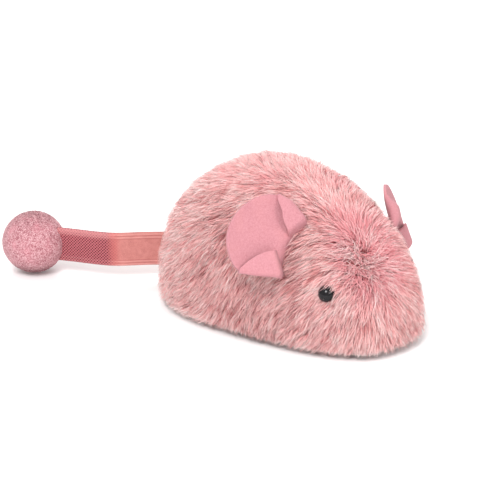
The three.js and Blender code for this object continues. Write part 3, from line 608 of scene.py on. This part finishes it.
def combedPile():
    tree = BVHTree.FromPolygons([v.co for v in backingPiece.data.vertices],
                                [p.vertices for p in backingPiece.data.polygons])
    chance = np.random.default_rng(pile["seed"])
    start = roots(backingPiece, pile["strands"], pile["seed"])
    for eye in eyes:
        start = start[np.linalg.norm(start - eye, axis=1) > pile["eyeClear"] * mm]
    fromKey = np.hypot(start[:, 0] - keyAxis[0], start[:, 2] - keyAxis[2])
    start = start[(fromKey > pile["keyClear"] * mm) | (start[:, 1] < bodyOrigin[1])]
    count = len(start)

    def onBacking(points):
        found = [tree.find_nearest(p) for p in points]
        return np.array([f[0] for f in found]), np.array([f[1] for f in found])

    _, normals = onBacking(start)
    local = (start - bodyOrigin) / mm
    # Each strand leans towards the middle of its lock
    lockCount = int(pile["locksArea"] / pile["clumpSize"] ** 2)
    locks = roots(backingPiece, lockCount, pile["seed"] + 1)
    lockTree = kdtree.KDTree(lockCount)
    for i, place in enumerate(locks):
        lockTree.insert(place, i)
    lockTree.balance()
    lockOf = np.array([lockTree.find(p)[1] for p in start])
    lockTurn = chance.normal(0, stray["lockTurn"], lockCount)
    lockTone = chance.random(lockCount)
    headTop = np.exp(-(np.linalg.norm(local - np.array(pile["fluff"]), axis=1) / pile["fluffSize"]) ** 2)
    turn = (swirl(start, 26, 3) * stray["swirlTurn"] + lockTurn[lockOf]
            + chance.normal(0, 1, count) * (stray["turn"] + stray["fluffTurn"] * headTop ** 2))
    crown = step(normals[:, 2], 0.72, 0.98)
    length = (pile["length"] * (stray["shortest"] + stray["lengthRange"] * chance.random(count))
              * (1 - stray["crownShorter"] * crown) * (1 - stray["fluffShorter"] * headTop))
    length *= np.clip(hemTrim["lengthAtFloor"] + local[:, 2] / hemTrim["fullHeight"], hemTrim["leastLength"], 1)
    rise = (pile["rise"] * (stray["lowest"] + stray["riseRange"] * chance.random(count) ** 1.5)
            * (1 + stray["riseSwirl"] * swirl(start, 9, 5)))
    toLock = locks[lockOf] - start
    toLock -= normals * np.sum(toLock * normals, axis=1)[:, None]
    rings = pile["rings"]
    ground, surface = start.copy(), normals.copy()
    way = combing(ground, surface, turn)
    path = [start - normals * pile["rootSunk"] * mm]
    bend = chance.normal(0, stray["bend"], count)
    for k in range(1, rings + 1):
        share = k / rings
        ground = ground + way * (length / rings * mm * (0.55 + 0.45 * min(1, share * 1.4)))[:, None]
        touched, surface = onBacking(ground)
        low = ground[:, 2] < bodyOrigin[2] + hemTrim["hangsBelow"] * mm
        ground = np.where(low[:, None], ground, touched)
        turned = combing(ground, surface, turn + bend * share)
        way = unit(way * (1 - combed["turnShare"]) + turned * combed["turnShare"])
        lift = rise * (1 - (1 - share) ** 2.0)
        point = ground + surface * (lift * mm)[:, None] + toLock * (pile["clumpPull"] * share ** 1.3)
        path.append(point)
    path = np.array(path)
    # Strands at the hem are trimmed to a ragged line just off the floor
    hem = bodyOrigin[2] + (hemTrim["lowest"] + hemTrim["range"] * chance.random(count) ** 2) * mm
    drop = np.maximum(path[0, :, 2] - path[-1, :, 2], 1e-6)
    share = np.clip((path[0, :, 2] - hem) / drop, hemTrim["shortest"], 1)
    path = path[0] + (path - path[0]) * share[None, :, None]
    path[:, :, 2] = np.maximum(path[:, :, 2], bodyOrigin[2] + pile["lowest"] * mm)
    tone = tinting["strand"] * chance.random(count) + tinting["lock"] * lockTone[lockOf]
    tone = np.clip(tone + tinting["rearPaler"] * step(-local[:, 0], 5, 40) + tinting["fluffPaler"] * headTop, 0, 1)
    # The crown's share counts where the backing faces up: a rosy tint and painted light from above
    rosy = np.clip(step(normals[:, 2], 0.55, 0.95) * tinting["crownRosyAndPaintedLight"]
                   + tinting["faceRosy"] * step(local[:, 0], 20, 45) + tinting["fluffRosy"] * headTop, 0, 1)
    return path, tone, rosy, chance


# A strand is a thin three-sided spindle, a little wider below its middle
strandShape = {"base": 0.75, "belly": 0.45, "bellyPlace": 1.25, "taper": 0.35, "sides": 3}


def strandMesh(name, path, tone, rosy, chance, halfWidth, finish):
    rings, count = len(path) - 1, path.shape[1]
    along = unit((path[-1] - path[0]))
    side = unit(np.cross(along, chance.normal(size=(count, 3))))
    other = np.cross(along, side)
    s, sides = strandShape, strandShape["sides"]
    corners = []
    for k in range(rings):
        share = k / rings
        belly = math.sin(math.pi * min(1, share * s["bellyPlace"]))
        wide = halfWidth * mm * (s["base"] + s["belly"] * belly - s["taper"] * share)
        for c in range(sides):
            angle = 2 * math.pi * c / sides
            corners.append(path[k] + (side * math.cos(angle) + other * math.sin(angle)) * wide)
    corners.append(path[rings])
    per = sides * rings + 1
    points = np.stack(corners, axis=1).reshape(-1, 3)
    faces = [(0, 2, 1)]
    for k in range(rings - 1):
        for c in range(sides):
            a, b = sides * k + c, sides * k + (c + 1) % sides
            faces += [(a, b, b + sides), (a, b + sides, a + sides)]
    top = sides * (rings - 1)
    for c in range(sides):
        faces.append((top + c, top + (c + 1) % sides, per - 1))
    faces = np.array(faces)
    every = (faces[None] + (np.arange(count) * per)[:, None, None]).reshape(-1, 3)
    mesh = bpy.data.meshes.new(name)
    mesh.vertices.add(len(points))
    mesh.vertices.foreach_set("co", points.astype(np.float32).ravel())
    mesh.loops.add(every.size)
    mesh.loops.foreach_set("vertex_index", every.astype(np.int32).ravel())
    mesh.polygons.add(len(every))
    mesh.polygons.foreach_set("loop_start", np.arange(0, every.size, 3, dtype=np.int32))
    mesh.polygons.foreach_set("use_smooth", np.ones(len(every), bool))
    heights = np.array([k // sides / rings for k in range(sides * rings)] + [1.0])
    for key, values in (("pileHeight", np.tile(heights, count)), ("strandTone", np.repeat(tone, per)),
                        ("rosyShare", np.repeat(rosy, per))):
        mesh.attributes.new(key, "FLOAT", "POINT").data.foreach_set("value", values.astype(np.float32))
    mesh.update(calc_edges=True)
    piece = bpy.data.objects.new(name, mesh)
    bpy.context.collection.objects.link(piece)
    piece.data.materials.append(finishes[finish])
    return piece


def growPile():
    path, tone, rosy, chance = combedPile()
    local = (path[0] - bodyOrigin) / mm
    order = np.argsort(local[:, 0])
    for i, part in enumerate(np.array_split(order, pile["pieces"])):
        piece = strandMesh(f"plush_pile_{i + 1}", path[:, part], tone[part], rosy[part], chance,
                           pile["halfWidth"], "plush")
        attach(piece, "mouse_body")
    print("pile grown:", len(order), "strands")


growPile()


def finishBacking(piece):
    applyModifier(piece, "SOLIDIFY", thickness=dome["backingThickness"] * mm, offset=-1)
    deselectAll()
    # Room for the key's bush in the left flank
    bush = boxMiddle("key_bush")
    bpy.ops.mesh.primitive_cylinder_add(vertices=48, radius=dome["bushHole"] * mm, depth=0.03,
                                        location=(bush.x, bush.y, bush.z), rotation=(math.pi / 2, 0, 0))
    cutter = bpy.context.object
    applyModifier(piece, "BOOLEAN", operation="DIFFERENCE", object=cutter, solver="EXACT")
    bpy.data.objects.remove(cutter)
    dress(piece, "backing")
    makeActive(piece)
    bpy.ops.object.shade_smooth_by_angle(angle=math.radians(40))
    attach(piece, "mouse_body")
    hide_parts("plush_cover")


finishBacking(backingPiece)
print("backing sewn")


def eye(name, side, replaced):
    deselectAll()
    s = eyeSettings
    bpy.ops.mesh.primitive_uv_sphere_add(segments=48, ring_count=32, radius=s["radius"] * mm)
    piece = bpy.context.object
    piece.name = name
    inOrder(piece, 8)
    bpy.ops.object.mode_set(mode="EDIT")
    bpy.ops.mesh.select_all(action="SELECT")
    bpy.ops.transform.resize(value=(1, 1, s["flatness"]))
    bpy.ops.object.mode_set(mode="OBJECT")
    look = Vector((s["look"][0], s["look"][1] * side, s["look"][2]))
    centre = at(*furPoint(side, s["along"], s["up"], s["sunk"]))
    piece.matrix_world = Matrix.Translation(centre) @ look.to_track_quat("Z", "Y").to_matrix().to_4x4()
    settle(piece)
    bpy.ops.object.shade_smooth()
    dress(piece, "bead")
    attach(piece, "mouse_body")
    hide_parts(replaced)


eye("eye_bead_right", -1, "eye_right")
eye("eye_bead_left", 1, "eye_left")
print("eyes set")


# Each ear is a round of felt, pinched at the root, with both sides folded over
earShape = {
    "rim": [(-6.0, -11.6), (-7.9, -9.9), (-9.3, -6.4), (-9.7, -1.5), (-8.8, 2.8), (-5.8, 7.9), (-1.4, 12.0),
            (3.8, 14.8), (9.0, 15.6), (13.2, 14.4)],
    "lowFold": [(-6.0, -11.6), (-0.3, -12.9), (7.3, -14.3), (14.5, -15.6)],
    "lowEdge": [(-5.6, -10.9), (-0.6, -7.9), (5.1, -6.2), (13.6, -6.4)],
    "highFold": [(13.2, 14.4), (15.2, 12.0), (18.0, 8.2), (24.4, 0.2)],
    "highEdge": [(12.9, 13.8), (13.2, 9.6), (13.6, 4.0), (17.0, -4.4)],
    "thickness": 1.15, "rootSunk": 0.5, "columns": 46, "lobeRows": 44, "flapRows": 12, "foldRows": 7,
    "lowRoll": 0.75, "lowRollGrows": 1.0, "highRoll": 0.5, "highRollGrows": 1.5, "highRollFades": 0.9,
    "flapDrop": 0.35, "dish": 1.6, "rimCurl": 1.3, "edgeBevel": 0.22,
}
earPlaces = {
    "right": {"side": -1, "facing": (0.84, 0.38, 0.38), "shift": (-3.1, -3.1, -1.6), "tilt": 0,
              "dive": 0.7},
    "left": {"side": 1, "facing": (0.70, 0.63, 0.33), "shift": (0.8, 0.8, -1.6), "tilt": 10,
             "dive": 0.5},
}


def alongCurve(points, count):
    spots = np.array(points, float)
    gaps = np.concatenate([[0], np.cumsum(np.linalg.norm(np.diff(spots, axis=0), axis=1))])
    gaps /= gaps[-1]
    wanted = np.linspace(0, 1, count)
    # Catmull-Rom through the points, spaced by their distance
    out = []
    for w in wanted:
        i = min(max(int(np.searchsorted(gaps, w, "right") - 1), 0), len(spots) - 2)
        u = (w - gaps[i]) / (gaps[i + 1] - gaps[i])
        p1, p2 = spots[i], spots[i + 1]
        p0 = spots[i - 1] if i > 0 else 2 * p1 - p2
        p3 = spots[i + 2] if i + 2 < len(spots) else 2 * p2 - p1
        out.append(0.5 * (2 * p1 + (p2 - p0) * u + (2 * p0 - 5 * p1 + 4 * p2 - p3) * u * u
                          + (3 * p1 - p0 - 3 * p2 + p3) * u ** 3))
    return np.array(out)


def earGrid():
    s = earShape
    n = s["columns"]
    lowFold, lowEdge = alongCurve(s["lowFold"], n), alongCurve(s["lowEdge"], n)
    highFold, highEdge = alongCurve(s["highFold"], n), alongCurve(s["highEdge"], n)
    rim = alongCurve(s["rim"], s["lobeRows"])
    share = np.linspace(0, 1, n)
    rows = []

    def outward(fold, sign):
        way = np.gradient(fold, axis=0)
        return unit(np.stack([-way[:, 1], way[:, 0]], axis=1)) * sign

    def flap(fold, edge, sign, radius):
        made = []
        out = outward(fold, sign)
        for m in np.linspace(1, 0, s["flapRows"], endpoint=False):
            flat = fold + (edge - fold) * m
            made.append(np.column_stack([flat, 2 * radius - s["flapDrop"] * m * share]))
        for angle in np.linspace(math.pi, 0, s["foldRows"], endpoint=False):
            flat = fold + out * (radius * math.sin(angle))[:, None]
            made.append(np.column_stack([flat, radius - radius * math.cos(angle)]))
        return made

    lowRadius = s["lowRoll"] + s["lowRollGrows"] * share
    highRadius = s["highRoll"] + s["highRollGrows"] * step(share, 0, 0.35) - s["highRollFades"] * share
    rows += flap(lowFold, lowEdge, -1, lowRadius)
    rootLow, rootHigh = lowFold[-1], highFold[-1]
    for k in range(s["lobeRows"]):
        v = k / (s["lobeRows"] - 1)
        root = rootLow + (rootHigh - rootLow) * v
        flat = rim[k] + (root - rim[k]) * share[:, None]
        # Near each fold the rows follow the fold's own curve
        low, high = (1 - v) ** 6, v ** 6
        flat = flat * (1 - low - high) + lowFold * low + highFold * high
        dish = -s["dish"] * math.sin(math.pi * v) * np.sin(math.pi * np.clip(share * 0.8 + 0.2, 0, 1))
        curl = s["rimCurl"] * (1 - share) ** 5 * math.sin(math.pi * v) ** 0.6
        rows.append(np.column_stack([flat, dish + curl]))
    rows += flap(highFold, highEdge, 1, highRadius)[::-1]
    return np.array(rows)


def ear(name, place):
    grid = earGrid()
    rowCount, columnCount = grid.shape[:2]
    side = place["side"]
    facing = Vector((place["facing"][0], side * place["facing"][1], place["facing"][2])).normalized()
    up = Vector((0, 0, 1))
    up = (up - facing * up.dot(facing)).normalized()
    inward = up.cross(facing) * -side
    turn = Matrix.Rotation(math.radians(place["tilt"] * side), 3, facing)
    up, inward = turn @ up, turn @ inward
    middle = Vector(boxMiddle(f"ear_{name}")) + Vector(place["shift"]) * mm
    backingTree = BVHTree.FromPolygons([v.co for v in backingPiece.data.vertices],
                                       [p.vertices for p in backingPiece.data.polygons])
    # The root dives under the pile: each row ends on the backing
    for row in range(rowCount):
        a, b, _ = grid[row, -1]
        spot = middle + (inward * a + up * b) * mm
        hit = backingTree.ray_cast(spot + facing * 0.05, -facing)[0]
        if hit is not None:
            down = (hit - spot).dot(facing) / mm - earShape["rootSunk"]
            grid[row, :, 2] += min(0, down) * step(np.linspace(0, 1, columnCount), place["dive"], 1.0)
    deselectAll()
    bpy.ops.mesh.primitive_grid_add(x_subdivisions=columnCount - 1, y_subdivisions=rowCount - 1, size=1)
    piece = bpy.context.object
    piece.name = f"ear_felt_{name}"
    for v in piece.data.vertices:
        column = min(columnCount - 1, max(0, round((v.co.x + 0.5) * (columnCount - 1))))
        row = min(rowCount - 1, max(0, round((v.co.y + 0.5) * (rowCount - 1))))
        a, b, c = grid[row, column]
        v.co = middle + (inward * a + up * b + facing * c) * mm
    applyModifier(piece, "SOLIDIFY", thickness=earShape["thickness"] * mm, offset=0)
    makeActive(piece)
    bpy.ops.object.mode_set(mode="EDIT")
    bpy.ops.mesh.select_all(action="SELECT")
    bpy.ops.mesh.normals_make_consistent(inside=False)
    bpy.ops.object.mode_set(mode="OBJECT")
    applyModifier(piece, "BEVEL", width=earShape["edgeBevel"] * mm, segments=2, limit_method="ANGLE",
                  angle_limit=math.radians(60))
    bpy.ops.object.shade_smooth_by_angle(angle=math.radians(50))
    dress(piece, "felt")
    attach(piece, "mouse_body")
    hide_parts(f"ear_{name}")


for name, place in earPlaces.items():
    ear(name, place)
print("ears folded")

# The tail is elastic webbing with a looped ball at its end
strap = {"width": 15, "thickness": 1.8, "middle": 13.5, "pivot": (-52.5, -0.8),
         "bends": [(-8.5, -6.7), (-18, -16), (-26.8, -26.4), (-33.5, -31.2), (-43, -36), (-50.2, -39.9)],
         "tab": 12, "knot": 0.11, "rows": 62, "stations": 270, "meshStarts": 29, "meshFull": 22,
         "ribs": ((5.3, 0.3), (6.6, 0.35)), "ribHeight": 0.16, "skin": 0.12,
         "edgeFrom": 0.93, "edgeRound": 0.07, "edgeThickness": 0.12, "middleThickness": 0.88}


def tailWebbing():
    px, py = strap["pivot"]
    spots = [(px + strap["tab"], py), (px + 6, py), (px, py)] + [(px + x, py + y) for x, y in strap["bends"]]
    line = alongCurve(spots, strap["stations"])
    gaps = np.concatenate([[0], np.cumsum(np.linalg.norm(np.diff(line, axis=0), axis=1))])
    total = gaps[-1]
    way = unit(np.gradient(line, axis=0))
    side = np.stack([-way[:, 1], way[:, 0]], axis=1)
    across = np.linspace(-strap["width"] / 2, strap["width"] / 2, strap["rows"])
    deselectAll()
    # A tube flattened on edge: up one face and down the other
    around = np.concatenate([across, across[::-1]])
    face = np.concatenate([np.ones(strap["rows"]), -np.ones(strap["rows"])])
    meshShare = step(gaps, total - strap["meshStarts"], total - strap["meshFull"])
    edge = np.abs(across) / (strap["width"] / 2)
    rib = sum(np.exp(-((np.abs(across) - place) / wide) ** 2) for place, wide in strap["ribs"])
    points, stamps = [], []
    pitch = 2 * math.pi / webbingLook["meshPitch"]
    for i, (spot, out) in enumerate(zip(line, side)):
        for j, (h, f) in enumerate(zip(around, face)):
            row = j if j < strap["rows"] else 2 * strap["rows"] - 1 - j
            roundness = math.sqrt(max(0.0, 1 - max(0.0, (edge[row] - strap["edgeFrom"]) / strap["edgeRound"]) ** 2))
            weave = max(math.sin((gaps[i] + h) * pitch), math.sin((gaps[i] - h) * pitch))
            relief = strap["knot"] * weave * meshShare[i]
            relief += strap["ribHeight"] * rib[row] * (1 - 0.75 * meshShare[i])
            thickness = strap["edgeThickness"] + strap["middleThickness"] * roundness
            half = strap["thickness"] / 2 * thickness - strap["skin"] + relief * roundness
            points.append(at(spot[0] + out[0] * f * half, spot[1] + out[1] * f * half, strap["middle"] + h))
            stamps.append((gaps[i], h, meshShare[i], rib[row] * (1 - 0.6 * meshShare[i])))
    ring = len(around)
    faces = []
    for i in range(strap["stations"] - 1):
        for j in range(ring):
            a, b = i * ring + j, i * ring + (j + 1) % ring
            faces.append((a, a + ring, b + ring, b))
    last = (strap["stations"] - 1) * ring
    for j in range(strap["rows"] - 1):
        faces.append((j, j + 1, ring - 2 - j, ring - 1 - j))
        faces.append((last + ring - 1 - j, last + ring - 2 - j, last + j + 1, last + j))
    mesh = bpy.data.meshes.new("tail_webbing")
    mesh.from_pydata(points, [], faces)
    stamps = np.array(stamps, np.float32)
    for k, key in enumerate(("alongStrap", "acrossStrap", "meshShare", "pipingShare")):
        mesh.attributes.new(key, "FLOAT", "POINT").data.foreach_set("value", stamps[:, k].copy())
    piece = bpy.data.objects.new("tail_webbing", mesh)
    bpy.context.collection.objects.link(piece)
    makeActive(piece)
    bpy.ops.object.mode_set(mode="EDIT")
    bpy.ops.mesh.select_all(action="SELECT")
    bpy.ops.mesh.normals_make_consistent(inside=False)
    bpy.ops.object.mode_set(mode="OBJECT")
    bpy.ops.object.shade_smooth()
    dress(piece, "webbing")
    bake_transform(piece)
    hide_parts("tail_strap", "tail_root_tab")
    return total


strapLength = tailWebbing()
print("webbing woven:", round(strapLength, 1), "mm")

ball = {"segments": 288, "rings": 144, "radius": 13.1, "wide": 1.05, "relief": 0.2, "loop": 0.5,
        "sunk": 0.35, "fibres": 5000, "fibreLength": 1.2, "fibreWidth": 0.08, "fibreRise": 0.55, "seed": 5,
        "wander": (0.55, 1.1), "broad": (0.85, 3.2), "tight": (1.3, 3.0), "flattened": 0.045}


def loopedBall():
    centre = boxMiddle("tail_ball_cover")
    deselectAll()
    # The noise has an offset of its own, which the seed fixes
    noise.seed_set(ball["seed"])
    bpy.ops.mesh.primitive_uv_sphere_add(segments=ball["segments"], ring_count=ball["rings"], radius=1)
    piece = bpy.context.object
    piece.name = "tail_ball_pile"
    inOrder(piece, 6)
    mesh = piece.data
    heights = []
    for v in mesh.vertices:
        way = v.co.normalized()
        spot = way * ball["radius"] / ball["loop"]
        bend = noise.noise_vector(spot * ball["wander"][0]) * ball["wander"][1]
        broad = 1 - abs(noise.noise((spot + bend) * ball["broad"][0])) * ball["broad"][1]
        tight = 1 - abs(noise.noise((spot - bend) * ball["tight"][0] + Vector((9, 3, 5)))) * ball["tight"][1]
        worm = max(0.0, min(1.0, 0.5 * broad + 0.5 * tight))
        squash = 1 - ball["flattened"] * max(0.0, -way.z - 0.55) / 0.45
        reach = (ball["radius"] - ball["sunk"] + ball["relief"] * worm) * squash * mm
        v.co = centre + Vector((way.x * ball["wide"], way.y * ball["wide"], way.z)) * reach
        heights.append(worm)
    mesh.attributes.new("pileHeight", "FLOAT", "POINT").data.foreach_set("value", np.array(heights, np.float32))
    bpy.ops.object.shade_smooth()
    dress(piece, "pile")
    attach(piece, "tail")
    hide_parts("tail_ball_cover")
    chance = np.random.default_rng(ball["seed"])
    way = unit(chance.normal(size=(ball["fibres"], 3)))
    side = unit(np.cross(way, chance.normal(size=way.shape)))
    middle = np.array(centre)
    length = ball["fibreLength"] * (0.5 + 0.6 * chance.random(len(way)))[:, None]
    path = np.array([middle + (way * (ball["radius"] - ball["sunk"] + ball["fibreRise"] * math.sin(k * 1.15))
                               + side * length * (k / 3)) * mm for k in range(4)])
    tone = chance.random(len(way))
    fibres = strandMesh("tail_ball_fibres", path, tone, tone * 0.3, chance,
                        ball["fibreWidth"], "pile")
    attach(fibres, "tail")


loopedBall()
print("ball made")
